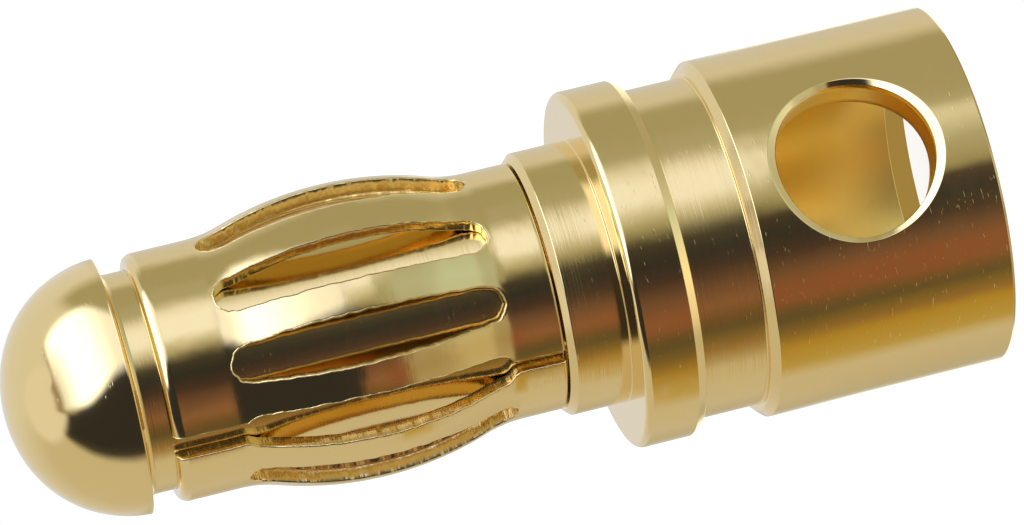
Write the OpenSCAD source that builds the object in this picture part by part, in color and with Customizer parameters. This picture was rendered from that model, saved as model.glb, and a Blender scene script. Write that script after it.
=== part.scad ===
// Battery lead connector, male bullet of the 3.5 mm class.
// A turned brass plug carries a rolled spring cage between its shoulder and its domed head.
// The wire is soldered into the cup at the other end, and solder is fed in through the cross hole.
// Z runs along the plug: the cup's rim stands on z = 0 and the dome is the highest point.
// Every size is in millimetres.

/* [Solder cup] */
// Outer diameter of the cup
cup_d = 4.5; // [4.2:0.05:6.0]
// Length of the cup, from its rim to the neck
cup_l = 3.1; // [2.9:0.05:6.0]
// Bore that takes the wire
cup_bore_d = 3.3; // [2.9:0.05:3.5]
// Depth of the bore, from the rim to the start of the drill point
cup_bore_l = 3.3; // [2.9:0.05:3.5]
// Width of the flat rim, between the countersink at the mouth and the cup's outside
rim_w = 0.12; // [0.08:0.01:0.3]
// Bevel on the cup's edge at the neck
cup_bevel = 0.1; // [0.02:0.01:0.15]
// Edge break on the outside of the rim
rim_bevel = 0.03; // [0.01:0.01:0.05]

/* [Solder hole] */
// Diameter of the cross hole, which goes through one wall of the cup
hole_d = 1.94; // [1.2:0.02:2.2]
// Height of the hole's centre above the rim
hole_z = 1.61; // [1.5:0.01:1.8]

/* [Neck and flange] */
// Diameter of the neck between the cup and the flange
neck_d = 4.14; // [4.0:0.02:4.2]
// Length of the neck
neck_l = 0.82; // [0.5:0.02:1.5]
// Outer diameter of the flange
flange_d = 4.49; // [4.3:0.01:5.2]
// Thickness of the flange
flange_l = 0.77; // [0.4:0.01:1.5]
// Rounding of the flange's front edge
flange_round = 0.09; // [0.03:0.01:0.15]
// Bevel on the flange's back edge
flange_bevel = 0.07; // [0.02:0.01:0.1]

/* [Shoulder and core] */
// Diameter of the shoulder that the cage is pushed up to
shoulder_d = 3.3; // [3.24:0.02:3.8]
// Length of the shoulder
shoulder_l = 0.76; // [0.4:0.02:1.5]
// Bevel on the shoulder's front edge
shoulder_bevel = 0.08; // [0.02:0.01:0.12]
// Diameter of the core pin under the cage
core_d = 2.73; // [2.4:0.01:2.8]
// Bare length of the core between the cage and the dome
groove_l = 0.35; // [0.2:0.01:0.8]
// Fillet between the core and the back of the dome
groove_fillet = 0.1; // [0.03:0.01:0.15]

/* [Dome] */
// Largest diameter of the domed head
dome_d = 3.18; // [3.14:0.01:3.4]
// Length of the dome, from its back face to its tip
dome_l = 1.46; // [1.4:0.01:1.5]
// Height of the dome's widest ring, below its back face
dome_hip = 0.06; // [0.02:0.01:0.1]
// Radius of the dome's side, in section
dome_side_r = 1.505; // [1.4:0.005:1.52]

/* [Contact cage] */
// Length of the cage
cage_l = 4.84; // [4.6:0.01:6.0]
// Thickness of the spring sheet
sheet_t = 0.165; // [0.1:0.005:0.18]
// Slack between the rolled sheet and the core, on the radius
cage_play = 0.015; // [0.005:0.005:0.02]
// Slack between the cage and the shoulder
cage_gap = 0.02; // [0.01:0.01:0.05]
// How far the strips stand out from the plain ends, on the radius
bulge_h = 0.283; // [0.1:0.005:0.32]
// Half the length of the bulge
bulge_half_l = 1.78; // [1.7:0.01:1.9]
// Radius of the bulge's crown, along the cage
bulge_crown_r = 4.25; // [3.6:0.05:4.6]
// How much longer the cage's plain front ring is than its back ring
front_ring_extra = 0.24; // [0:0.02:0.4]
// Edge break on the cage's front end
cage_bevel = 0.09; // [0.02:0.01:0.1]
// Edge break on the cage's end at the shoulder
cage_back_bevel = 0.03; // [0.01:0.01:0.05]

/* [Slots] */
// Number of strips in the cage, which is also the number of openings with the seam
strips = 11; // [8:1:12]
// Length of a slot, with its round ends
slot_l = 3.36; // [3.0:0.02:3.5]
// Width of a slot at its ends
slot_end_w = 0.45; // [0.3:0.01:0.5]
// Width of a slot at the crown of the bulge
slot_mid_w = 0.63; // [0.52:0.01:0.7]
// Opening of the seam at the front end
seam_front_w = 0.3; // [0.1:0.01:0.35]
// Opening of the seam at the end by the shoulder
seam_back_w = 0.16; // [0.05:0.01:0.3]
// Turn of the first slot about the plug, from straight above the cross hole
slot_turn = -19.9; // [-32:0.1:32]

/* [Hidden] */
$fn = 96;
// Longer than any cut has to be
reach = 20;
// How far the bore's cut runs out past the rim
overrun = 1;

// Heights of the turned body, from the rim up
neck_z = cup_l;
flange_z = neck_z + neck_l;
shoulder_z = flange_z + flange_l;
core_z = shoulder_z + shoulder_l;
cage_z = core_z + cage_gap;
cage_top_z = cage_z + cage_l;
dome_z = cage_top_z + groove_l;
tip_z = dome_z + dome_l;

// Angle between the walls of the drill point at the bottom of the bore
drill_point = 118;
drill_point_l = cup_bore_d / 2 / tan(drill_point / 2);

// Angle between the walls of the countersink at the mouth, which leads the wire in
countersink = 105;
mouth_r = cup_d / 2 - rim_w;
mouth_l = (mouth_r - cup_bore_d / 2) / tan(countersink / 2);

// The dome's section is two arcs that meet smoothly: a side arc and a flatter nose arc.
// The side arc's centre is side_x off the axis, and dome_rise is its height below the tip.
dome_r = dome_d / 2;
side_x = dome_r - dome_side_r;
side_z = dome_z - dome_hip;
dome_rise = tip_z - side_z;
nose_r = (dome_rise * dome_rise + side_x * side_x - dome_side_r * dome_side_r)
    / (2 * (dome_rise - dome_side_r));
nose_z = tip_z - nose_r;

// The bulge is a crown arc between two hollow arcs, all tangent to each other and to the plain ends.
cage_r = core_d / 2 + cage_play + sheet_t;
bulge_z = cage_z + (cage_l - front_ring_extra) / 2;
bulge_angle = 2 * atan(bulge_h / bulge_half_l);
bulge_blend_r = bulge_half_l / sin(bulge_angle) - bulge_crown_r;

// A slot's long sides are shallow arcs, so that the strips keep one width over the bulge.
slot_straight = slot_l / 2 - slot_end_w / 2;
slot_spread = (slot_mid_w - slot_end_w) / 2;
slot_side_r = (slot_straight * slot_straight + slot_spread * slot_spread) / (2 * slot_spread);
pitch = 360 / strips;
// Distance from the axis at which each cut starts: inside the sheet, and clear of its neighbours
cut_start = core_d / 2 * cos(pitch / 2);

// Half section of a disc between two heights.
module disc_section(r, z0, z1) {
    translate([0, z0]) square([r, z1 - z0]);
}

// Triangle that bevels the outer edge of a disc: dir = 1 for its upper edge, -1 for its lower edge.
module bevel_cut(r, z, size, dir) {
    translate([r, z]) polygon([
        [-size, dir * reach * size], [-size, 0], [0, -dir * size],
        [reach * size, -dir * size], [reach * size, dir * reach * size]
    ]);
}

// Half section of the dome, with its back face at dome_z. The line through both arcs' centres,
// where they meet, parts the nose from the side.
module dome_section() {
    intersection() {
        translate([side_x, side_z]) circle(dome_side_r);
        disc_section(dome_r, dome_z, tip_z);
    }
    intersection() {
        translate([0, nose_z]) circle(nose_r);
        polygon([[0, nose_z], [reach * side_x, nose_z + reach * (side_z - nose_z)], [0, reach]]);
    }
}

// Half section of everything that the lathe turns on the outside.
module turned_section() {
    difference() {
        disc_section(cup_d / 2, 0, neck_z);
        bevel_cut(cup_d / 2, neck_z, cup_bevel, 1);
        bevel_cut(cup_d / 2, 0, rim_bevel, -1);
    }
    disc_section(neck_d / 2, 0, flange_z + flange_l / 2);
    difference() {
        union() {
            disc_section(flange_d / 2, flange_z, shoulder_z - flange_round);
            disc_section(flange_d / 2 - flange_round, flange_z, shoulder_z);
            translate([flange_d / 2 - flange_round, shoulder_z - flange_round]) circle(flange_round);
        }
        bevel_cut(flange_d / 2, flange_z, flange_bevel, -1);
    }
    difference() {
        disc_section(shoulder_d / 2, shoulder_z - flange_l / 2, core_z);
        bevel_cut(shoulder_d / 2, core_z, shoulder_bevel, 1);
    }
    disc_section(core_d / 2, core_z - shoulder_l / 2, dome_z + dome_l / 2);
    difference() {
        disc_section(core_d / 2 + groove_fillet, dome_z - groove_fillet, dome_z + groove_fillet / 2);
        translate([core_d / 2 + groove_fillet, dome_z - groove_fillet]) circle(groove_fillet);
    }
    dome_section();
}

// Half section of the bore, its drill point and the countersink at its mouth.
module bore_section() {
    bore_r = cup_bore_d / 2;
    polygon([
        [0, -overrun],
        [mouth_r, -overrun],
        [mouth_r, 0],
        [bore_r, mouth_l],
        [bore_r, cup_bore_l],
        [0, cup_bore_l + drill_point_l]
    ]);
}

// Turned brass body: solder cup, neck, flange, shoulder, core pin and dome in one piece.
module plug_body() {
    color("gold")
    difference() {
        rotate_extrude() difference() {
            intersection() {
                turned_section();
                square([cup_d + flange_d, tip_z]);
            }
            bore_section();
        }
        translate([0, 0, hole_z]) rotate([90, 0, 0]) cylinder(d = hole_d, h = reach);
    }
}

// Half section of the solid that the cage's outside bounds, or its inside when inset is the sheet.
module bulged_section(inset) {
    crown_r = bulge_crown_r - inset;
    blend_r = bulge_blend_r + inset;
    crown_half_l = crown_r * sin(bulge_angle);
    blend_l = bulge_half_l - crown_half_l;
    disc_section(cage_r - inset, cage_z - inset, cage_top_z + inset);
    intersection() {
        translate([cage_r + bulge_h - bulge_crown_r, bulge_z]) circle(crown_r);
        disc_section(cage_r + bulge_h, cage_z, cage_top_z);
    }
    for (side = [-1, 1])
        difference() {
            translate([0, bulge_z + side * (crown_half_l + blend_l / 2) - blend_l / 2])
                square([cage_r + bulge_blend_r - blend_r * cos(bulge_angle), blend_l]);
            translate([cage_r + bulge_blend_r, bulge_z + side * bulge_half_l]) circle(blend_r);
        }
}

// Outline of one slot, along Y, as it is cut from straight outside: a circle at each end, and
// between them what two large circles have in common, one for each of its sides.
module slot_outline() {
    for (side = [-1, 1])
        translate([0, side * slot_straight]) circle(d = slot_end_w);
    intersection() {
        translate([slot_side_r - slot_mid_w / 2, 0]) circle(slot_side_r);
        translate([slot_mid_w / 2 - slot_side_r, 0]) circle(slot_side_r);
        square([slot_mid_w * 2, slot_straight * 2], center = true);
    }
}

// The seam is a slot whose ends run out through both plain rings of the cage.
module seam_outline() {
    slot_outline();
    translate([-seam_front_w / 2, 0]) square([seam_front_w, cage_l]);
    translate([-seam_back_w / 2, -cage_l]) square([seam_back_w, cage_l]);
}

// Cuts an outline through the cage's wall at a turn about Z: 0 is at -Y, above the cross hole.
module wall_cut(turn) {
    rotate([0, 0, turn]) translate([0, -cut_start, bulge_z]) rotate([90, 0, 0])
        linear_extrude(cage_r + bulge_h) children();
}

// Spring cage: a punched sheet rolled round the core, bulged in the middle and left open at its seam.
module contact_cage() {
    color("goldenrod")
    difference() {
        rotate_extrude() difference() {
            bulged_section(0);
            bulged_section(sheet_t);
            bevel_cut(cage_r, cage_top_z, cage_bevel, 1);
            bevel_cut(cage_r, cage_z, cage_back_bevel, -1);
        }
        for (i = [0:strips - 2])
            wall_cut(slot_turn + i * pitch) slot_outline();
        wall_cut(slot_turn - pitch) seam_outline();
    }
}

plug_body();
contact_cage();
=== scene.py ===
import math

import bmesh
import bpy
import numpy as np
from mathutils import Matrix, Vector


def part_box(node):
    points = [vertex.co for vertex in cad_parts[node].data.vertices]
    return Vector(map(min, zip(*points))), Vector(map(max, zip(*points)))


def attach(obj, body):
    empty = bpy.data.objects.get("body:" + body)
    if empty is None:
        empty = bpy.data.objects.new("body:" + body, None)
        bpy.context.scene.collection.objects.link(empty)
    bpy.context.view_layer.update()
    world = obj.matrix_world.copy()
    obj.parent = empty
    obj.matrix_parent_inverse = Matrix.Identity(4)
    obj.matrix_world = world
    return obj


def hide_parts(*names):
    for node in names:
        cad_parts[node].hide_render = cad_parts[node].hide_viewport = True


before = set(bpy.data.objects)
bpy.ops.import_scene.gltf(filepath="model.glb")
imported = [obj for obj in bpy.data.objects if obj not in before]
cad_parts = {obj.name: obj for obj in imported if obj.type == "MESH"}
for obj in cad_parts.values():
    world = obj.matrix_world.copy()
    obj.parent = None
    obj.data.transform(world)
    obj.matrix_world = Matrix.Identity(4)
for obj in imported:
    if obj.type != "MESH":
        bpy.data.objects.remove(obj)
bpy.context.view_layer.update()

# ---- Plug body ------------------------------------------------------------------------------
# One bar of brass, turned on a lathe and gold plated: a domed head, a core pin under the cage,
# a shoulder, a flange, a neck and the solder cup. The cup's cross hole is drilled through one
# wall, and a hand tool has broken its edge into a narrow bright bevel.
MM = 0.001

tip_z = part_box("plug_body")[1].z / MM
cup_r, cup_l, cup_bevel, rim_bevel = 2.25, 3.1, 0.1, 0.03
bore_r, bore_l, drill_point_l = 1.65, 3.3, 0.991
mouth_r, mouth_l = 2.13, 0.368
hole_r, hole_z = 0.97, 1.61
neck_r, flange_r, shoulder_r, core_r = 2.07, 2.245, 1.65, 1.365
flange_round, flange_bevel, flange_bevel_l, shoulder_bevel = 0.09, 0.06, 0.11, 0.08
flange_z, shoulder_z, core_z = 3.92, 4.69, 5.45
dome_l, dome_hip, dome_r, dome_side_r = 1.46, 0.06, 1.59, 1.505
groove_fillet = 0.1
edge_break, rim_round, mouth_round, countersink_round, drill_round = 0.018, 0.01, 0.014, 0.012, 0.03
columns = 240
tiny = 1e-6


def rounded_profile(corners, steps):
    """Walks a polyline of (r, z, radius) corners and turns each inner corner into an arc tangent to
    both its sides: the arc starts radius * tan(turn / 2) before the corner, and as its tangent angle
    goes from a0 to a it has moved by radius * (sin a - sin a0, cos a0 - cos a), which is signed by
    the side it turns to. Gives the points and, a quarter turn left of the tangents, the normals."""
    corners = np.array(corners, float)
    ways = np.diff(corners[:, :2], axis=0)
    angles = np.arctan2(ways[:, 1], ways[:, 0])
    turns = (np.diff(angles) + np.pi) % (2 * np.pi) - np.pi
    radii = corners[1:-1, 2]
    units = ways[:-1] / np.linalg.norm(ways[:-1], axis=1)[:, None]
    starts = corners[1:-1, :2] - units * (radii * np.tan(np.abs(turns) / 2))[:, None]
    a0 = angles[:-1, None]
    a = a0 + turns[:, None] * np.linspace(0, 1, steps + 1)
    signed = (radii * np.sign(turns))[:, None, None]
    arcs = starts[:, None] + signed * np.stack([np.sin(a) - np.sin(a0), np.cos(a0) - np.cos(a)], -1)
    points = np.vstack([corners[:1, :2], arcs.reshape(-1, 2), corners[-1:, :2]])
    tangents = np.concatenate([angles[:1], a.ravel(), angles[-1:]])
    return points, np.stack([-np.sin(tangents), np.cos(tangents)], -1)


def arc(centre, radius, start, end, steps):
    """Points of a circle whose normal leans from start to end, measured from the plug's axis:
    centre + radius * (sin a, cos a). Gives the points and their normals."""
    a = np.linspace(start, end, steps)
    normals = np.stack([np.sin(a), np.cos(a)], -1)
    return np.array(centre) + radius * normals, normals


def grid_faces(ids, wrap=False):
    """Quads between neighbouring rows and columns of a grid of vertex numbers. With wrap, the last
    column joins the first."""
    ids = np.hstack([ids, ids[:, :1]]) if wrap else ids
    return np.stack([ids[:-1, :-1], ids[1:, :-1], ids[1:, 1:], ids[:-1, 1:]], -1)


def add_piece(name, points, faces, normals=None):
    """Makes an object from points in millimetres and arrays of faces, without unused points."""
    used, flat = np.unique(np.concatenate([f.ravel() for f in faces]), return_inverse=True)
    bounds_at = np.cumsum([f.size for f in faces])[:-1]
    polygons = [
        part.reshape(-1, f.shape[-1]).tolist()
        for part, f in zip(np.split(flat.ravel(), bounds_at), faces)
    ]
    mesh = bpy.data.meshes.new(name)
    mesh.from_pydata((points[used] * MM).tolist(), [], sum(polygons, []))
    mesh.shade_smooth()
    if normals is not None:
        mesh.normals_split_custom_set_from_vertices(normals[used].tolist())
    piece = bpy.data.objects.new(name, mesh)
    bpy.context.scene.collection.objects.link(piece)
    return piece, used


# The half section, from the tip down the outside and up the bore to the drill point.
dome_z = tip_z - dome_l
side_x, side_z = dome_r - dome_side_r, dome_z - dome_hip
dome_rise = tip_z - side_z
nose_r = (dome_rise**2 + side_x**2 - dome_side_r**2) / (2 * (dome_rise - dome_side_r))
nose_z = tip_z - nose_r
nose_lean = math.atan2(side_x, side_z - nose_z)
back_lean = math.radians(86.5)
nose, nose_normals = arc((0, nose_z), nose_r, 0, nose_lean, steps=16)
side, side_normals = arc((side_x, side_z), dome_side_r, nose_lean, back_lean, steps=40)
dome_back_r = side_x + math.sqrt(dome_side_r**2 - dome_hip**2)
turned, turned_normals = rounded_profile([
    (*side[-1], 0),
    (dome_back_r, dome_z, edge_break),
    (core_r, dome_z, groove_fillet),
    (core_r, core_z, edge_break),
    (shoulder_r - shoulder_bevel, core_z, edge_break),
    (shoulder_r, core_z - shoulder_bevel, edge_break),
    (shoulder_r, shoulder_z, edge_break),
    (flange_r, shoulder_z, flange_round),
    (flange_r, flange_z + flange_bevel_l, edge_break),
    (flange_r - flange_bevel, flange_z, edge_break),
    (neck_r, flange_z, edge_break),
    (neck_r, cup_l, edge_break),
    (cup_r - cup_bevel, cup_l, edge_break),
    (cup_r, cup_l - cup_bevel, edge_break),
    (cup_r, hole_z, 0),
], steps=6)

# The tool's feed leaves the neck finely stepped, so it mirrors a little higher than a smooth wall.
feed_lean = math.radians(2.4)
on_neck = (np.abs(turned[:, 0] - neck_r) < tiny) & (turned[:, 1] > cup_l) & (turned[:, 1] < flange_z)
turned_normals[on_neck] = (math.cos(feed_lean), math.sin(feed_lean))

# The hole's patch: rows shared by the cup's outside and the bore, so that rings can join the two.
patch_rows, patch_columns, patch_half_l = 50, 64, 1.2
patch_z = hole_z + patch_half_l * np.linspace(1, -1, patch_rows + 1)
cup_wall = np.stack([np.full_like(patch_z, cup_r), patch_z], -1)
bore_wall = np.stack([np.full_like(patch_z, bore_r), patch_z[::-1]], -1)
rim, rim_normals = rounded_profile([
    (cup_r, hole_z, 0),
    (cup_r, rim_bevel, rim_round),
    (cup_r - rim_bevel, 0, rim_round),
    (mouth_r, 0, mouth_round),
    (bore_r, mouth_l, countersink_round),
    (bore_r, hole_z, 0),
], steps=5)
floor_of_bore, floor_normals = rounded_profile([
    (bore_r, hole_z, 0),
    (bore_r, bore_l, drill_round),
    (0, bore_l + drill_point_l, 0),
], steps=5)
profile = np.vstack([nose, side[1:], turned[1:-1], cup_wall, rim[1:-1], bore_wall, floor_of_bore[1:]])
profile_normals = np.vstack([
    nose_normals, side_normals[1:], turned_normals[1:-1],
    np.tile([1.0, 0.0], (patch_rows + 1, 1)), rim_normals[1:-1],
    np.tile([-1.0, 0.0], (patch_rows + 1, 1)), floor_normals[1:],
])
cup_row = len(nose) + len(side) - 1 + len(turned) - 2
bore_row = cup_row + patch_rows + 1 + len(rim) - 2

# Every row is spun about Z: (r cos a, r sin a, z), and its normal turns with it.
a = np.arange(columns) * 2 * np.pi / columns
spin = np.stack([np.cos(a), np.sin(a)], -1)
rows = len(profile)
lathe = np.concatenate(
    [profile[:, None, :1] * spin, np.broadcast_to(profile[:, None, 1:], (rows, columns, 1))], -1)
lathe_normals = np.concatenate(
    [profile_normals[:, None, :1] * spin,
     np.broadcast_to(profile_normals[:, None, 1:], (rows, columns, 1))], -1)
ids = np.arange(rows * columns).reshape(rows, columns)
ids[0] = ids[0, 0]
ids[-1] = ids[-1, 0]
first_column = columns * 3 // 4 - patch_columns // 2
last_column = first_column + patch_columns
quads = grid_faces(ids, wrap=True)
in_patch = np.zeros(quads.shape[:2], bool)
in_patch[cup_row:cup_row + patch_rows, first_column:last_column] = True
in_patch[bore_row:bore_row + patch_rows, first_column:last_column] = True


def patch_border(row_top, row_bottom):
    """Vertex numbers round a patch, from its top left corner clockwise as seen from outside."""
    step = 1 if row_bottom > row_top else -1
    across = np.arange(first_column, last_column)
    down = np.arange(row_top, row_bottom, step)
    return np.concatenate([
        ids[row_top, across],
        ids[down, last_column],
        ids[row_bottom, across[::-1] + 1],
        ids[down[::-1] + step, first_column],
    ])


cup_border = patch_border(cup_row, cup_row + patch_rows)
bore_border = patch_border(bore_row + patch_rows, bore_row)
flat_lathe = lathe.reshape(-1, 3)
border_x, border_z = flat_lathe[cup_border, 0], flat_lathe[cup_border, 2] - hole_z
around = np.arctan2(border_z, border_x)
circle = np.stack([np.cos(around), np.sin(around)], -1)


def on_wall(x, z, radius, facing):
    """Points of a wall of that radius, seen along Y: (x, -sqrt(radius^2 - x^2), z). facing is 1 for
    its outside and -1 for its inside."""
    y = -np.sqrt(radius**2 - x**2)
    points = np.stack([x, y, z + hole_z], -1)
    return points, facing * np.stack([x, y, np.zeros_like(x)], -1) / radius


def blended_rings(border, inner_r, radius, facing, shares):
    """Rings on a wall that go from the patch's border to a circle, by each share of the way."""
    shares = np.array(shares)[:, None]
    x = (1 - shares) * border[:, 0] + shares * inner_r * circle[:, 0]
    z = (1 - shares) * (border[:, 2] - hole_z) + shares * inner_r * circle[:, 1]
    return on_wall(x, z, radius, facing)


# The broken edge: how far each ring stands out from the hole, how far it is sunk below the cup's
# surface, and how far its normal leans from the surface's to the hole's. The drill's burr inside
# the bore is given in the same way.
deburr_w, deburr_soft = 0.105, 0.012
deburr = [
    (deburr_w + deburr_soft, 0, 0), (deburr_w, 0.004, 25), (deburr_w - deburr_soft, 0.014, 46),
    (0.014, 0.078, 46), (0.004, 0.088, 70), (0, 0.1, 90),
]
burr = [(0, 0.012, 90), (0.004, 0.003, 45), (0.014, 0, 0)]
into_hole = -np.stack([circle[:, 0], np.zeros(len(circle)), circle[:, 1]], -1)
# The wall falls away at the hole's two sides, so the bevel is a third narrower there, and the tool
# was held a little flatter at its two ends along the plug.
side_narrowing, side_tilt, flatter_at_ends = 0.33, 0.87, 0.13
edge_width = 1 - side_narrowing * circle[:, 0] ** 2
edge_tilt = side_tilt - flatter_at_ends * np.abs(circle[:, 1])


def hole_ring(stand_out, sunk, lean, radius, facing):
    """One ring of the hole's edge on a wall: a circle that stands out from the hole, moved along Y."""
    ring_r = hole_r + stand_out * edge_width
    points, surface = on_wall(ring_r * circle[:, 0], ring_r * circle[:, 1], radius, facing)
    points[:, 1] += facing * sunk * edge_tilt
    lean = math.radians(lean) * edge_tilt[:, None]
    normals = np.cos(lean) * surface + np.sin(lean) * into_hole
    return points, normals / np.linalg.norm(normals, axis=1)[:, None]


outer_margin, bore_margin = 0.03, 0.04
outer_rings = blended_rings(
    flat_lathe[cup_border], hole_r + deburr_w + outer_margin, cup_r, 1, np.linspace(0, 1, 9)[1:])
bore_rings = blended_rings(
    flat_lathe[bore_border], hole_r + bore_margin, bore_r, -1, np.linspace(1, 0, 7)[:-1])
edge_rings = [hole_ring(*ring, cup_r, 1) for ring in deburr]
burr_rings = [hole_ring(*ring, bore_r, -1) for ring in burr]
wall_start, wall_end = edge_rings[-1][0], burr_rings[0][0]
wall_shares = np.linspace(0, 1, 6)[1:-1, None, None]
wall_rings = (1 - wall_shares) * wall_start + wall_shares * wall_end
ring_points = np.concatenate([
    outer_rings[0], [p for p, n in edge_rings], wall_rings, [p for p, n in burr_rings], bore_rings[0]])
ring_normals = np.concatenate([
    outer_rings[1], [n for p, n in edge_rings], np.broadcast_to(into_hole, wall_rings.shape),
    [n for p, n in burr_rings], bore_rings[1]])
ring_ids = rows * columns + np.arange(ring_points[..., 0].size).reshape(ring_points.shape[:2])
hole_quads = grid_faces(np.vstack([cup_border, ring_ids, bore_border]), wrap=True)

body_points = np.vstack([flat_lathe, ring_points.reshape(-1, 3)])
body_normals = np.vstack([lathe_normals.reshape(-1, 3), ring_normals.reshape(-1, 3)])
plug_body, used = add_piece(
    "gold_plug_body", body_points,
    [quads[1:-1][~in_patch[1:-1]], quads[0][:, [0, 1, 2]], quads[-1][:, [0, 1, 3]],
     hole_quads.reshape(-1, 4)],
    body_normals)

# How deep the lathe's marks are above each height: deep on the pin, shoulder and neck, and polished
# out elsewhere. The bore, its mouth and the hole's wall are left as the drill cut them.
mark_depths = [
    (dome_z + 0.02, 0.05), (core_z + 0.01, 3.0), (shoulder_z + 0.02, 5.0), (flange_z - 0.01, 0.18),
    (cup_l - 0.02, 4.0),
]
cup_marks, drill_marks = 0.1, 1.0
bore_reach, bore_top, wall_reach, wall_top = bore_r + 0.02, bore_l + 1.0, cup_r - 0.11, cup_l - 0.1
kept = body_points[used]
height, reach = kept[:, 2], np.hypot(kept[:, 0], kept[:, 1])
drilled = ((reach < bore_reach) & (height < bore_top)) | ((reach < wall_reach) & (height < wall_top))
marks = np.select([height > start for start, _ in mark_depths], [m for _, m in mark_depths], cup_marks)
marks = np.where(drilled, drill_marks, marks)
for name, values in (("lathe_marks", marks), ("drilled", drilled)):
    plug_body.data.attributes.new(name, "FLOAT", "POINT").data.foreach_set(
        "value", values.astype(np.float32))


def linear(hex_colour, alpha=1.0):
    """sRGB hex to linear RGBA."""
    srgb = [int(hex_colour[i:i + 2], 16) / 255 for i in (1, 3, 5)]
    return (*(c / 12.92 if c <= 0.04045 else ((c + 0.055) / 1.055) ** 2.4 for c in srgb), alpha)


def add_node(tree, kind, settings=None, **inputs):
    """Adds a node, sets its properties, and sets or links its inputs. In an input's name, a number
    after i_ is its place, and underscores are spaces."""
    node = tree.nodes.new(kind)
    for key, value in (settings or {}).items():
        setattr(node, key, value)
    for key, value in inputs.items():
        socket = node.inputs[int(key[2:]) if key.startswith("i_") else key.replace("_", " ")]
        if isinstance(value, bpy.types.NodeSocket):
            tree.links.new(value, socket)
        else:
            socket.default_value = value
    return node


def new_material(name):
    """An empty node material, with its tree."""
    material = bpy.data.materials.new(name)
    material.use_nodes = True
    material.node_tree.nodes.clear()
    return material, material.node_tree


def finish_material(material, shader):
    """Joins the shader to the material's output."""
    add_node(material.node_tree, "ShaderNodeOutputMaterial", Surface=shader.outputs[0])
    return material


def gold_plated_turned_brass():
    """Thin bright gold over turned brass: a pale gold mirror whose reflections are drawn out along
    the plug by the lathe's marks, with a few pits and short scratches round it from handling."""
    material, tree = new_material("gold_plated_turned_brass")
    place = add_node(tree, "ShaderNodeTexCoord").outputs["Object"]
    depth = add_node(tree, "ShaderNodeAttribute", {"attribute_name": "lathe_marks"}).outputs["Fac"]
    # Marks 0.05 mm apart go round the plug, so their noise is squeezed along Z.
    ring_place = add_node(tree, "ShaderNodeMapping", Vector=place, Scale=(0.02, 0.02, 1.0))
    marks = add_node(tree, "ShaderNodeTexNoise", Vector=ring_place.outputs[0],
                     Scale=1 / (0.05 * MM), Detail=3.0, Roughness=0.65)
    broad = add_node(tree, "ShaderNodeTexNoise", Vector=ring_place.outputs[0],
                     Scale=1 / (0.22 * MM), Detail=1.0)
    both = add_node(tree, "ShaderNodeMath", {"operation": "ADD"},
                    i_0=marks.outputs["Fac"], i_1=broad.outputs["Fac"])
    cut = add_node(tree, "ShaderNodeMath", {"operation": "MULTIPLY"},
                   i_0=both.outputs[0], i_1=depth)
    turned_bump = add_node(tree, "ShaderNodeBump", Height=cut.outputs[0],
                           Strength=1.0, Distance=0.0005 * MM)
    # Pits and ticks about 0.03 mm wide and 0.12 mm long, round the plug.
    scratch_place = add_node(tree, "ShaderNodeMapping", Vector=place, Scale=(0.25, 0.25, 1.0))
    scratch = add_node(tree, "ShaderNodeTexNoise", Vector=scratch_place.outputs[0],
                       Scale=1 / (0.03 * MM), Detail=1.0)
    scratched = add_node(tree, "ShaderNodeMapRange", Value=scratch.outputs["Fac"],
                         From_Min=0.7, From_Max=0.8, To_Min=0.0, To_Max=1.0)
    scratch_bump = add_node(tree, "ShaderNodeBump", Height=scratched.outputs[0],
                            Normal=turned_bump.outputs[0], Strength=1.0, Distance=0.0006 * MM)
    # Polishing leaves the surface very slightly wavy, about 0.7 mm from crest to crest.
    wave = add_node(tree, "ShaderNodeTexNoise", Vector=place, Scale=1 / (0.7 * MM), Detail=2.0)
    wave_bump = add_node(tree, "ShaderNodeBump", Height=wave.outputs["Fac"],
                         Normal=scratch_bump.outputs[0], Strength=1.0, Distance=0.004 * MM)
    # Drilled walls are dull and their plating is thin, so the brass's deeper yellow shows through. Their
    # brighter colour is also painted light, which lightens the dim bore and the hole's inside.
    # Turned walls are a little duller where the marks are deep.
    turned_rough = add_node(tree, "ShaderNodeMapRange", Value=depth,
                            From_Min=0.0, From_Max=4.0, To_Min=0.10, To_Max=0.15)
    drilled = add_node(tree, "ShaderNodeAttribute", {"attribute_name": "drilled"}).outputs["Fac"]
    rough = add_node(tree, "ShaderNodeMath", {"operation": "MULTIPLY_ADD"},
                     i_0=drilled, i_1=0.17, i_2=turned_rough.outputs[0])
    bore_brightened_plate = add_node(tree, "ShaderNodeMix", {"data_type": "RGBA"}, i_0=drilled,
                     i_6=linear("#F4DA9A"), i_7=linear("#FFE08A"))
    metal = add_node(tree, "ShaderNodeBsdfPrincipled", Base_Color=bore_brightened_plate.outputs[2], Metallic=1.0,
                     Roughness=rough.outputs[0], Normal=wave_bump.outputs[0])
    return finish_material(material, metal)


plug_body.data.materials.append(gold_plated_turned_brass())
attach(plug_body, "root")
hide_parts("plug_body")

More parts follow.
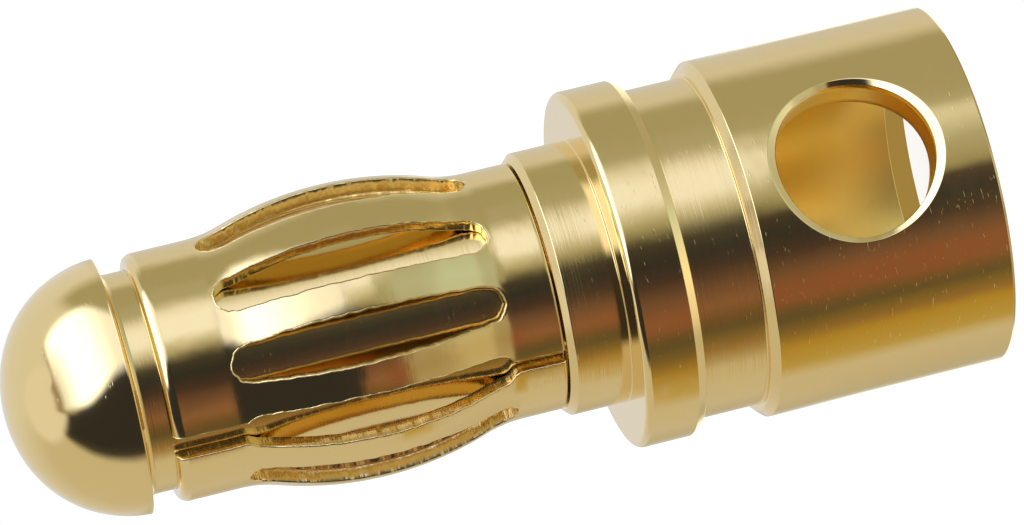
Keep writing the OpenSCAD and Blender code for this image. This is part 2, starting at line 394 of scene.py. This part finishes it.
# ---- Contact cage ---------------------------------------------------------------------------
# A strip of thin spring sheet, punched with slots, rolled round the core pin and bulged in the
# middle so that it grips the socket. Its two ends meet at an open seam. It is gold plated after
# punching, and the sheared edges stay rough under the plating.
cage_low, cage_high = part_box("contact_cage")
cage_z, cage_top_z = cage_low.z / MM, cage_high.z / MM
sheet_t, cage_play = 0.1765, 0.0035
cage_r = core_r + cage_play + sheet_t
bulge_h, bulge_half_l, bulge_crown_r = 0.283, 1.78, 4.25
front_ring_extra = 0.24
bulge_z = cage_z + (cage_top_z - cage_z - front_ring_extra) / 2
front_round_l, front_round_h, back_round = 0.13, 0.1, 0.03
strips = 11
slot_l, slot_end_w, slot_mid_w = 3.36, 0.45, 0.63
seam_front_w, seam_back_w = 0.3, 0.16
slot_turn = math.radians(-19.9)
pitch = 2 * math.pi / strips
slot_straight = (slot_l - slot_end_w) / 2
sheared_edge = 0.02
tear_depth, tear_limit, torn_share = 0.009, 0.01, 0.7
weld_reach, sliver = 2e-5, 1e-5
# The punch left one slot a little off its place.
drifted_slot, slot_drift = 2, math.radians(4.5)


def bulge_radius(z, inset):
    """Radius of the cage's wall at height z, inset below its outside: a crown arc between two hollow
    arcs, tangent to it and to the plain rings."""
    lean = 2 * math.atan(bulge_h / bulge_half_l)
    blend_r = bulge_half_l / math.sin(lean) - bulge_crown_r
    off = np.abs(z - bulge_z)
    crown_r = bulge_crown_r - inset
    crown = cage_r + bulge_h - bulge_crown_r + np.sqrt(np.maximum(crown_r**2 - off**2, 0))
    hollow_r = blend_r + inset
    from_ring = np.clip(bulge_half_l - off, 0, hollow_r)
    hollow = cage_r + blend_r - np.sqrt(hollow_r**2 - from_ring**2)
    return np.where(off < crown_r * math.sin(lean), crown, hollow)


def sheet_radius(z, depth):
    """Radius at height z and at a share of the sheet's thickness: 0 outside, 1 inside. The outside
    falls away in a quarter ellipse, length long and drop deep, at both ends of the cage."""
    outside = bulge_radius(z, 0)
    for length, drop, off in (
        (front_round_l, front_round_h, z - (cage_top_z - front_round_l)),
        (back_round, back_round, cage_z + back_round - z),
    ):
        outside = outside - drop + drop * np.sqrt(1 - (np.clip(off, 0, length) / length) ** 2)
    return outside + depth * (bulge_radius(z, sheet_t) - outside)


# Heights that neighbouring strips share along the line between them.
straight_steps, ring_steps, end_columns = 72, 14, 8
end_gap, crowding = 0.02, 1.6
side_up = bulge_z + slot_straight * np.linspace(-1, 1, straight_steps + 1)
plain_top, plain_bottom = cage_top_z - front_round_l - end_gap, cage_z + back_round + end_gap
fan = np.linspace(0, 1, ring_steps + 1)[1:] ** crowding
upper_z = side_up[-1] + fan * (plain_top - side_up[-1])
lower_z = side_up[0] + fan * (plain_bottom - side_up[0])
border_heights = np.concatenate([lower_z[::-1], side_up, upper_z])
quarter = np.linspace(0, np.pi / 2, 7)
front_z = cage_top_z - front_round_l + front_round_l * np.sin(quarter)
back_z = cage_z + back_round - back_round * np.sin(quarter)

# Across a strip: shares of the way from its middle line to the slot's edge, round the sheared
# edge, down the wall, and back along the inside. Each has (share from edge, offset, depth).
outside_shares = np.linspace(1, 0, 11)[:-1] ** 1.3
bend = np.linspace(0, np.pi / 2, 5)
inside_shares = np.linspace(0, 1, 7)[1:]
edge_share = sheared_edge / sheet_t
across = np.vstack([
    np.stack([outside_shares, np.full(10, sheared_edge), np.zeros(10)], -1),
    np.stack([np.zeros(5), sheared_edge * (1 - np.sin(bend)), edge_share * (1 - np.cos(bend))], -1),
    np.stack([np.zeros(2), np.zeros(2), np.array([0.38, 0.64])], -1),
    np.stack([np.zeros(5), sheared_edge * (1 - np.cos(bend)), 1 - edge_share * (1 - np.sin(bend))], -1),
    np.stack([inside_shares, np.full(6, sheared_edge), np.ones(6)], -1),
])
share, offset, depth = (across[:, i, None] for i in range(3))


def slot_half_width(z):
    """Half the slot's width at height z: a shallow arc along its sides, and a half circle at each end."""
    off = np.abs(z - bulge_z)
    spread = (slot_mid_w - slot_end_w) / 2
    side_r = (slot_straight**2 + spread**2) / (2 * spread)
    sides = slot_mid_w / 2 - side_r + np.sqrt(side_r**2 - np.minimum(off, slot_straight)**2)
    ends = np.sqrt(np.maximum((slot_end_w / 2)**2 - np.clip(off - slot_straight, 0, None)**2, 0))
    return np.where(off < slot_straight, sides, ends)


def shear_wobble(count, seed):
    """How far the press tore past the true line of an edge, point by point, up to a limit."""
    noise = np.random.default_rng(seed).normal(size=count)
    smooth = sum(np.roll(noise, k) for k in (-1, 0, 1)) / 3
    return np.clip(tear_depth * smooth, -tear_limit, tear_limit)


def wrap_round(angle, z, depth_share, turn):
    """Puts (angle, height) on the sheet at that share of its depth. Angle 0 at turn 0 is at -Y."""
    radius = sheet_radius(z, depth_share)
    return np.stack([radius * np.sin(angle + turn), -radius * np.cos(angle + turn), z], -1)


def slot_cell(turn, drift, seed):
    """The sheet round one slot, as rings that go from the cell's border to the slot, down its wall
    and back along the inside. Ring points leave the slot's outline along its normal. The sheet was
    punched flat and then rolled, so the walls point at the plug's axis. The slot is drift off the
    middle of its cell."""
    beta = np.linspace(0, np.pi, 2 * ring_steps + end_columns + 1)
    end_r = slot_end_w / 2
    up = side_up[:-1]
    outline = np.vstack([
        np.stack([slot_half_width(up), up], -1),
        np.stack([end_r * np.cos(beta[:-1]), bulge_z + slot_straight + end_r * np.sin(beta[:-1])], -1),
        np.stack([-slot_half_width(up), 2 * bulge_z - up], -1),
        np.stack([-end_r * np.cos(beta[:-1]), bulge_z - slot_straight - end_r * np.sin(beta[:-1])], -1),
    ])
    along = np.roll(outline, -1, 0) - np.roll(outline, 1, 0)
    normal = np.stack([along[:, 1], -along[:, 0]], -1) / np.linalg.norm(along, axis=1)[:, None]
    outline = outline + normal * shear_wobble(len(outline), seed)[:, None]
    half = pitch / 2
    top = np.linspace(half, -half, end_columns + 1)
    side_angles = np.full(ring_steps, half)
    border = np.vstack([
        np.stack([np.full(straight_steps, half), up], -1),
        np.stack([np.r_[half, side_angles], np.r_[side_up[-1], upper_z]], -1),
        np.stack([top[1:-1], np.full(end_columns - 1, plain_top)], -1),
        np.stack([-side_angles, upper_z[::-1]], -1),
        np.stack([np.full(straight_steps, -half), side_up[:0:-1]], -1),
        np.stack([-np.r_[half, side_angles], np.r_[side_up[0], lower_z]], -1),
        np.stack([top[-2:0:-1], np.full(end_columns - 1, plain_bottom)], -1),
        np.stack([side_angles, lower_z[::-1]], -1),
    ])
    x = outline[:, 0] + offset * normal[:, 0]
    z = outline[:, 1] + offset * normal[:, 1]
    angle = np.arcsin(x / sheet_radius(z, 0)) + drift
    angle = (1 - share) * angle + share * border[:, 0]
    z = (1 - share) * z + share * border[:, 1]
    return wrap_round(angle, z, np.broadcast_to(depth, z.shape), turn)


def end_band(turn, heights):
    """The end of the sheet beside one slot: up the outside through the quarter round, over the end
    face, and back down the inside."""
    z = np.r_[heights, heights[::-1]][:, None]
    depth_share = np.r_[np.zeros(len(heights)), np.ones(len(heights))][:, None]
    angle = np.linspace(-pitch / 2, pitch / 2, end_columns + 1)[None]
    z, depth_share, angle = np.broadcast_arrays(z, depth_share, angle)
    return wrap_round(angle, z, depth_share, turn)


def seam_half(turn, side, seed):
    """Half a strip's width of sheet on one side of the seam, from end to end of the cage. The seam is
    a slot that runs out through both rings."""
    z = np.concatenate([back_z[::-1], border_heights, front_z])[None]
    slit = np.where(z > bulge_z, seam_front_w, seam_back_w) / 2
    edge = np.maximum(slot_half_width(z), slit) + shear_wobble(z.size, seed)[None]
    angle = (1 - share) * np.arcsin((edge + offset) / sheet_radius(z, 0)) + share * pitch / 2
    z, depth_share = np.broadcast_arrays(z, depth + 0 * z)
    return wrap_round(side * angle, z, depth_share, turn)


parts, numbers, sheared, count = [], [], [], 0
torn = ((share < tiny) & (offset < sheared_edge * torn_share)).astype(float)


def collect(points, wrap=False, torn_rows=0.0):
    """Adds a grid of points and its quads to the cage."""
    global count
    grid_ids = count + np.arange(points[..., 0].size).reshape(points.shape[:2])
    count += grid_ids.size
    parts.append(points.reshape(-1, 3))
    numbers.append(grid_faces(grid_ids, wrap).reshape(-1, 4))
    sheared.append(np.broadcast_to(torn_rows, grid_ids.shape).ravel())
    return grid_ids


for i in range(strips - 1):
    turn = slot_turn + i * pitch
    drift = slot_drift if i == drifted_slot else 0.0
    collect(slot_cell(turn, drift, 20 + i), wrap=True, torn_rows=torn)
    collect(end_band(turn, np.r_[plain_top, front_z]))
    collect(end_band(turn, np.r_[plain_bottom, back_z]))
for side in (-1, 1):
    strip_ids = collect(seam_half(slot_turn - pitch, side, 40 + side), torn_rows=torn)
    for end in (0, -1):
        fold = np.stack([strip_ids[:, end], strip_ids[::-1, end]])[:, :len(strip_ids) // 2 + 1]
        numbers.append(grid_faces(fold).reshape(-1, 4))

cage_points = np.vstack(parts)
contact_cage, used = add_piece("gold_contact_cage", cage_points, [np.vstack(numbers)])
contact_cage.data.attributes.new("sheared", "FLOAT", "POINT").data.foreach_set(
    "value", np.concatenate(sheared)[used].astype(np.float32))
joined = bmesh.new()
joined.from_mesh(contact_cage.data)
bmesh.ops.remove_doubles(joined, verts=joined.verts, dist=weld_reach * MM)
bmesh.ops.dissolve_degenerate(joined, edges=joined.edges, dist=sliver * MM)
bmesh.ops.recalc_face_normals(joined, faces=joined.faces)
joined.to_mesh(contact_cage.data)
joined.free()
contact_cage.data.shade_smooth()
contact_cage.data.set_sharp_from_angle(angle=math.radians(50))


def gold_plated_spring_sheet():
    """Thin bright gold over rolled spring sheet: a mirror with the slight waviness of forming, and
    sheared slot walls that glint, with tears across the sheet about 0.1 mm apart."""
    material, tree = new_material("gold_plated_spring_sheet")
    place = add_node(tree, "ShaderNodeTexCoord").outputs["Object"]
    torn_wall = add_node(tree, "ShaderNodeAttribute", {"attribute_name": "sheared"}).outputs["Fac"]
    wave = add_node(tree, "ShaderNodeTexNoise", Vector=place, Scale=1 / (0.5 * MM), Detail=2.0)
    wave_bump = add_node(tree, "ShaderNodeBump", Height=wave.outputs["Fac"],
                         Strength=1.0, Distance=0.006 * MM)
    grain_place = add_node(tree, "ShaderNodeMapping", Vector=place, Scale=(0.15, 0.15, 1.0))
    grain = add_node(tree, "ShaderNodeTexNoise", Vector=grain_place.outputs[0],
                     Scale=1 / (0.06 * MM), Detail=3.0, Roughness=0.6)
    grain_bump = add_node(tree, "ShaderNodeBump", Height=grain.outputs["Fac"],
                          Normal=wave_bump.outputs[0], Strength=1.0, Distance=0.0006 * MM)
    tear_place = add_node(tree, "ShaderNodeMapping", Vector=place, Scale=(0.25, 0.25, 1.0))
    tear = add_node(tree, "ShaderNodeTexNoise", Vector=tear_place.outputs[0],
                    Scale=1 / (0.1 * MM), Detail=2.0)
    torn_height = add_node(tree, "ShaderNodeMath", {"operation": "MULTIPLY"},
                           i_0=tear.outputs["Fac"], i_1=torn_wall)
    tear_bump = add_node(tree, "ShaderNodeBump", Height=torn_height.outputs[0],
                         Normal=grain_bump.outputs[0], Strength=1.0, Distance=0.016 * MM)
    rough = add_node(tree, "ShaderNodeMapRange", Value=torn_wall,
                     From_Min=0.0, From_Max=1.0, To_Min=0.11, To_Max=0.18)
    metal = add_node(tree, "ShaderNodeBsdfPrincipled", Base_Color=linear("#F4DA9A"), Metallic=1.0,
                     Roughness=rough.outputs[0], Normal=tear_bump.outputs[0])
    return finish_material(material, metal)


contact_cage.data.materials.append(gold_plated_spring_sheet())
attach(contact_cage, "root")
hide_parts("contact_cage")

# ---- Camera ---------------------------------------------------------------------------------
# A long lens close to level with the plug, turned so that the plug lies across the frame with its
# dome low on the left.
view_azimuth, view_elevation, view_roll = (math.radians(v) for v in (-16.5, 8.95, 13.64))
view_distance, aim_right, aim_up = 67.0, 0.324, 0.43
look_at = Vector((0.0, 0.0, 6.07))
towards = Vector((
    math.sin(view_azimuth) * math.cos(view_elevation),
    -math.cos(view_azimuth) * math.cos(view_elevation),
    math.sin(view_elevation),
))
plug_way = (Vector((0, 0, 1)) - towards * towards.z).normalized()
cross_way = plug_way.cross(towards)
right = -math.cos(view_roll) * plug_way - math.sin(view_roll) * cross_way
up = -math.sin(view_roll) * plug_way + math.cos(view_roll) * cross_way
eye = look_at + aim_right * right + aim_up * up + view_distance * towards
camera_data = bpy.data.cameras.new("camera")
camera_data.lens = 192.4
camera_data.clip_start = 0.001
camera_data.clip_end = 10.0
camera = bpy.data.objects.new("camera", camera_data)
camera.matrix_world = Matrix.Translation(eye * MM) @ Matrix((right, up, towards)).transposed().to_4x4()
bpy.context.scene.collection.objects.link(camera)
bpy.context.scene.camera = camera

# ---- Studio ---------------------------------------------------------------------------------
# A white room with one tall soft light to the left of the camera, a black card beside it, and a
# warm wooden wall and bench on the right. The room is the world, so it stands still while the
# camera moves. Each wall is a run of (degrees round the room from the camera, colour), and the
# walls are stacked by elevation, from the floor up.
world = bpy.data.worlds.new("studio")
bpy.context.scene.world = world
world.use_nodes = True
room = world.node_tree
room.nodes.clear()
room_strength = 4.0
white, white_warm, white_high = (0.70, 0.71, 0.73), (0.63, 0.60, 0.54), (0.76, 0.78, 0.84)
back_wall, khaki, straw = (0.64, 0.63, 0.60), (0.53, 0.49, 0.38), (0.47, 0.46, 0.36)
olive, curtain, fringe = (0.41, 0.41, 0.31), (0.45, 0.46, 0.39), (0.60, 0.62, 0.60)
light_side, light_rim, soft_light = (0.75, 0.77, 0.78), (0.93, 0.97, 1.15), (1.05, 1.14, 1.48)
shade, shade_dark = (0.36, 0.35, 0.24), (0.12, 0.115, 0.085)
card_edge, card, card_warm = (0.055, 0.052, 0.047), (0.034, 0.034, 0.038), (0.065, 0.042, 0.042)
wood_dark, wood, wood_red = (0.18, 0.098, 0.07), (0.29, 0.15, 0.09), (0.27, 0.11, 0.063)
wood_end, beam, shelf = (0.19, 0.11, 0.05), (0.125, 0.10, 0.055), (0.21, 0.15, 0.045)
bench, bench_far = (0.47, 0.31, 0.05), (0.52, 0.40, 0.13)
mint, mint_pale = (0.52, 0.60, 0.58), (0.60, 0.75, 0.79)
ochre, sand = (0.41, 0.33, 0.20), (0.58, 0.50, 0.33)
amber, door, light_frame = (0.31, 0.18, 0.07), (0.34, 0.26, 0.11), (0.34, 0.28, 0.20)
mint_lit, sand_lit, back_lit = (0.80, 0.90, 0.90), (1.20, 1.10, 0.90), (1.25, 1.23, 1.17)
ground, ceiling = (0.62, 0.62, 0.59), (0.83, 0.83, 0.91)
floor_edge = [
    (-180, door), (-150, door), (-138, straw), (-100, straw), (-28, mint_lit),
    (30, sand_lit), (110, white_warm), (138, white_warm), (150, door), (180, door),
]
bottom_wall = [
    (-180, door), (-150, door), (-138, straw), (-100, straw), (-28, mint_pale),
    (45, sand), (110, white_warm), (138, white_warm), (150, door), (180, door),
]
under_wall = [
    (-180, back_lit), (-156, back_lit), (-126, white), (-110, olive), (-92, olive), (-60, curtain),
    (-26, mint), (42, ochre), (107, white_warm), (150, khaki), (162, back_lit), (180, back_lit),
]
low_wall = [
    (-180, back_lit), (-168, back_lit), (-160, back_wall), (-126, white), (-118, fringe),
    (-108, olive), (-60, olive), (-54, curtain), (-48, light_side), (-43, light_side), (-36, fringe),
    (-28, curtain), (-18, olive), (-12, shade),
    (-7, card_warm), (4, card), (16, card_warm), (28, wood_dark), (36, wood_red), (48, wood_red),
    (54, wood_end), (60, beam), (66, shelf), (73, amber), (80, bench), (98, bench_far),
    (103, sand), (109, white_warm), (154, khaki), (163, back_wall), (169, back_lit), (180, back_lit),
]
flange_wall = [
    (-180, back_wall), (-124, white), (-112, olive), (-80, olive), (-67, curtain), (-60, light_side),
    (-54, light_rim), (-46, soft_light), (-36, soft_light), (-28, light_side), (-18, shade),
    (-12, shade_dark), (-8, card_edge), (4, card), (17, card_warm), (29, wood_dark), (40, wood_red),
    (48, wood_red), (54, beam), (61, beam), (69, shelf), (82, bench), (98, bench_far),
    (103, sand), (109, white_warm), (134, white_warm), (154, khaki), (180, back_wall),
]
level_wall = [
    (-180, back_wall), (-124, white), (-112, olive), (-90, olive), (-80, curtain), (-70, curtain),
    (-64, fringe), (-57, light_rim), (-50, soft_light), (-34, soft_light), (-27, light_side), (-20, straw),
    (-12, shade_dark), (-8, card_edge), (4, card), (16, card_warm), (29, wood_dark), (42, wood),
    (52, wood_end), (60, beam), (68, shelf), (76, amber), (83, ochre), (93, white_warm), (134, white_warm),
    (154, khaki), (180, back_wall),
]
raised_wall = [
    (-180, white_high), (-122, white_high), (-106, olive), (-60, olive), (-44, card), (56, card),
    (64, card_edge), (74, white_warm), (130, white_warm), (180, white_high),
]
high_wall = [
    (-180, white_high), (-60, white_high), (-44, card), (56, card), (64, card_edge),
    (74, white_warm), (130, white_warm), (180, white_high),
]
# The soft light: (elevation, its left side, its right side, brightness), with soft edges and a brown
# frame round its top.
light_shape = [
    (-8, -66, -22, 1.0), (3, -68, -15, 1.05), (11, -81, -14, 1.1), (20, -88, -9, 1.8),
    (30, -92, 0, 2.1), (40, -96, 8, 2.1), (50, -97, 13, 2.1), (58, -88, 16, 1.2), (64, -68, 18, 0.95),
    (70, -40, 20, 0.9), (90, -20, 20, 0.9),
]
light_softness, light_foot, foot_fade, light_top, top_fade = 7, -2, 2, 68, 4
frame_width, frame_softness, frame_foot, frame_fade = 8, 4, 56, 5
direction = add_node(room, "ShaderNodeTexCoord").outputs["Generated"]
turned_way = add_node(room, "ShaderNodeMapping", Vector=direction,
                      Rotation=(0, 0, math.pi - view_azimuth))
parts_of_way = add_node(room, "ShaderNodeSeparateXYZ", Vector=turned_way.outputs[0])
round_room = add_node(room, "ShaderNodeMath", {"operation": "ARCTAN2"},
                      i_0=parts_of_way.outputs["X"], i_1=parts_of_way.outputs["Y"])
along_wall = add_node(room, "ShaderNodeMapRange", Value=round_room.outputs[0],
                      From_Min=-math.pi, From_Max=math.pi, To_Min=0.0, To_Max=1.0)
rise = add_node(room, "ShaderNodeMath", {"operation": "ARCSINE"}, i_0=parts_of_way.outputs["Z"])
up_wall = add_node(room, "ShaderNodeMapRange", Value=rise.outputs[0],
                   From_Min=-math.pi / 2, From_Max=math.pi / 2, To_Min=0.0, To_Max=1.0)


def stored(colour):
    """A colour as the ramps and mixes keep it: a share of the room's strength, with its alpha."""
    return (*(c / room_strength for c in colour), 1)


def wall_colour(stops, along, full_turn):
    """A colour ramp along the room or up it."""
    node = add_node(room, "ShaderNodeValToRGB", Fac=along.outputs[0])
    ramp = node.color_ramp
    ramp.interpolation = "B_SPLINE" if along is up_wall else "LINEAR"
    while len(ramp.elements) < len(stops):
        ramp.elements.new(1.0)
    for element, (degrees, colour) in zip(ramp.elements, stops):
        element.position = degrees / full_turn + 0.5
        element.color = stored(colour)
    return node.outputs["Color"]


def soft_step(value, middle, half_width):
    """0 below the middle and 1 above it, with a smooth step between."""
    node = add_node(room, "ShaderNodeMapRange", {"interpolation_type": "SMOOTHSTEP"}, Value=value,
                    From_Min=middle - half_width, From_Max=middle + half_width)
    return node.outputs[0]


def blended(share, one, other):
    """Goes from one colour to the other as the share goes from 0 to 1."""
    mix = add_node(room, "ShaderNodeMix", {"data_type": "RGBA"}, i_0=share, i_6=one, i_7=other)
    return mix.outputs[2]


def stacked(lower, upper, start, end):
    """Goes smoothly from the lower colour to the upper one between two elevations, in degrees."""
    share = soft_step(up_wall.outputs[0], (start + end) / 360 + 0.5, (end - start) / 360)
    return blended(share, lower, upper)


def product(one, other):
    """Two values multiplied."""
    node = add_node(room, "ShaderNodeMath", {"operation": "MULTIPLY"}, i_0=one, i_1=other)
    return node.outputs[0]


def gap(one, other):
    """How far one value is above the other."""
    node = add_node(room, "ShaderNodeMath", {"operation": "SUBTRACT"}, i_0=one, i_1=other)
    return node.outputs[0]


colour = stored(ground)
for wall, start, end in (
    (floor_edge, -76, -72), (bottom_wall, -60, -54), (under_wall, -36, -27), (low_wall, -18, -15),
    (flange_wall, -12.3, -11.1), (level_wall, -10.2, -9.2), (raised_wall, -4, 0.5), (high_wall, 18, 30),
):
    colour = stacked(colour, wall_colour(wall, along_wall, 360), start, end)
colour = stacked(colour, stored(ceiling), 62, 70)
shape_ramp = wall_colour(
    [(rise_at, ((left / 360 + 0.5) * room_strength, (right / 360 + 0.5) * room_strength, bright))
     for rise_at, left, right, bright in light_shape], up_wall, 180)
shape = add_node(room, "ShaderNodeSeparateColor", Color=shape_ramp)


def light_mask(grow, softness):
    """1 inside the light's shape grown by some degrees, and 0 outside it."""
    across = product(
        soft_step(gap(along_wall.outputs[0], shape.outputs["Red"]), -grow / 360, softness / 360),
        soft_step(gap(shape.outputs["Green"], along_wall.outputs[0]), -grow / 360, softness / 360))
    above_foot = soft_step(rise.outputs[0], math.radians(light_foot), math.radians(foot_fade))
    below_top = soft_step(gap(math.radians(light_top), rise.outputs[0]), -math.radians(grow),
                          math.radians(top_fade))
    return product(across, product(above_foot, below_top))


framed = product(
    light_mask(frame_width, frame_softness),
    soft_step(rise.outputs[0], math.radians(frame_foot), math.radians(frame_fade)))
colour = blended(framed, colour, stored(light_frame))
lit = light_mask(0, light_softness)
glare = add_node(room, "ShaderNodeVectorMath", {"operation": "SCALE"}, i_0=soft_light)
room.links.new(shape.outputs["Blue"], glare.inputs["Scale"])
colour = blended(lit, colour, glare.outputs[0])
seen = add_node(room, "ShaderNodeLightPath").outputs["Is Camera Ray"]
room_light = add_node(room, "ShaderNodeBackground", Color=colour, Strength=room_strength)
backdrop = add_node(room, "ShaderNodeBackground", Color=(1, 1, 1, 1), Strength=1.0)
mixed = add_node(room, "ShaderNodeMixShader", Fac=seen, i_1=room_light.outputs[0], i_2=backdrop.outputs[0])
add_node(room, "ShaderNodeOutputWorld", Surface=mixed.outputs[0])

# The floor is white paper. It takes the plug's faint shadow, and the room shows past it in the
# metal, as it would on a stand.
floor_half, paper_glow = 150.0, 0.88
floor_mesh = bpy.data.meshes.new("paper_floor")
corners = np.array([(-1, -1, 0), (1, -1, 0), (1, 1, 0), (-1, 1, 0)]) * floor_half * MM
floor_mesh.from_pydata(corners.tolist(), [], [(0, 1, 2, 3)])
floor = bpy.data.objects.new("paper_floor", floor_mesh)
bpy.context.scene.collection.objects.link(floor)
floor.visible_glossy = False
paper, paper_tree = new_material("white_paper")
shade = add_node(paper_tree, "ShaderNodeBsdfDiffuse", Color=linear("#8C8C8C"))
glow = add_node(paper_tree, "ShaderNodeEmission", Color=(1, 1, 1, 1), Strength=paper_glow)
sum_shader = add_node(paper_tree, "ShaderNodeAddShader", i_0=shade.outputs[0], i_1=glow.outputs[0])
plain = add_node(paper_tree, "ShaderNodeBsdfDiffuse", Color=linear("#E8E8E8"))
camera_ray = add_node(paper_tree, "ShaderNodeLightPath").outputs["Is Camera Ray"]
paper_shader = add_node(paper_tree, "ShaderNodeMixShader", Fac=camera_ray,
                        i_1=plain.outputs[0], i_2=sum_shader.outputs[0])
floor_mesh.materials.append(finish_material(paper, paper_shader))

bpy.context.scene.view_settings.view_transform = "Standard"
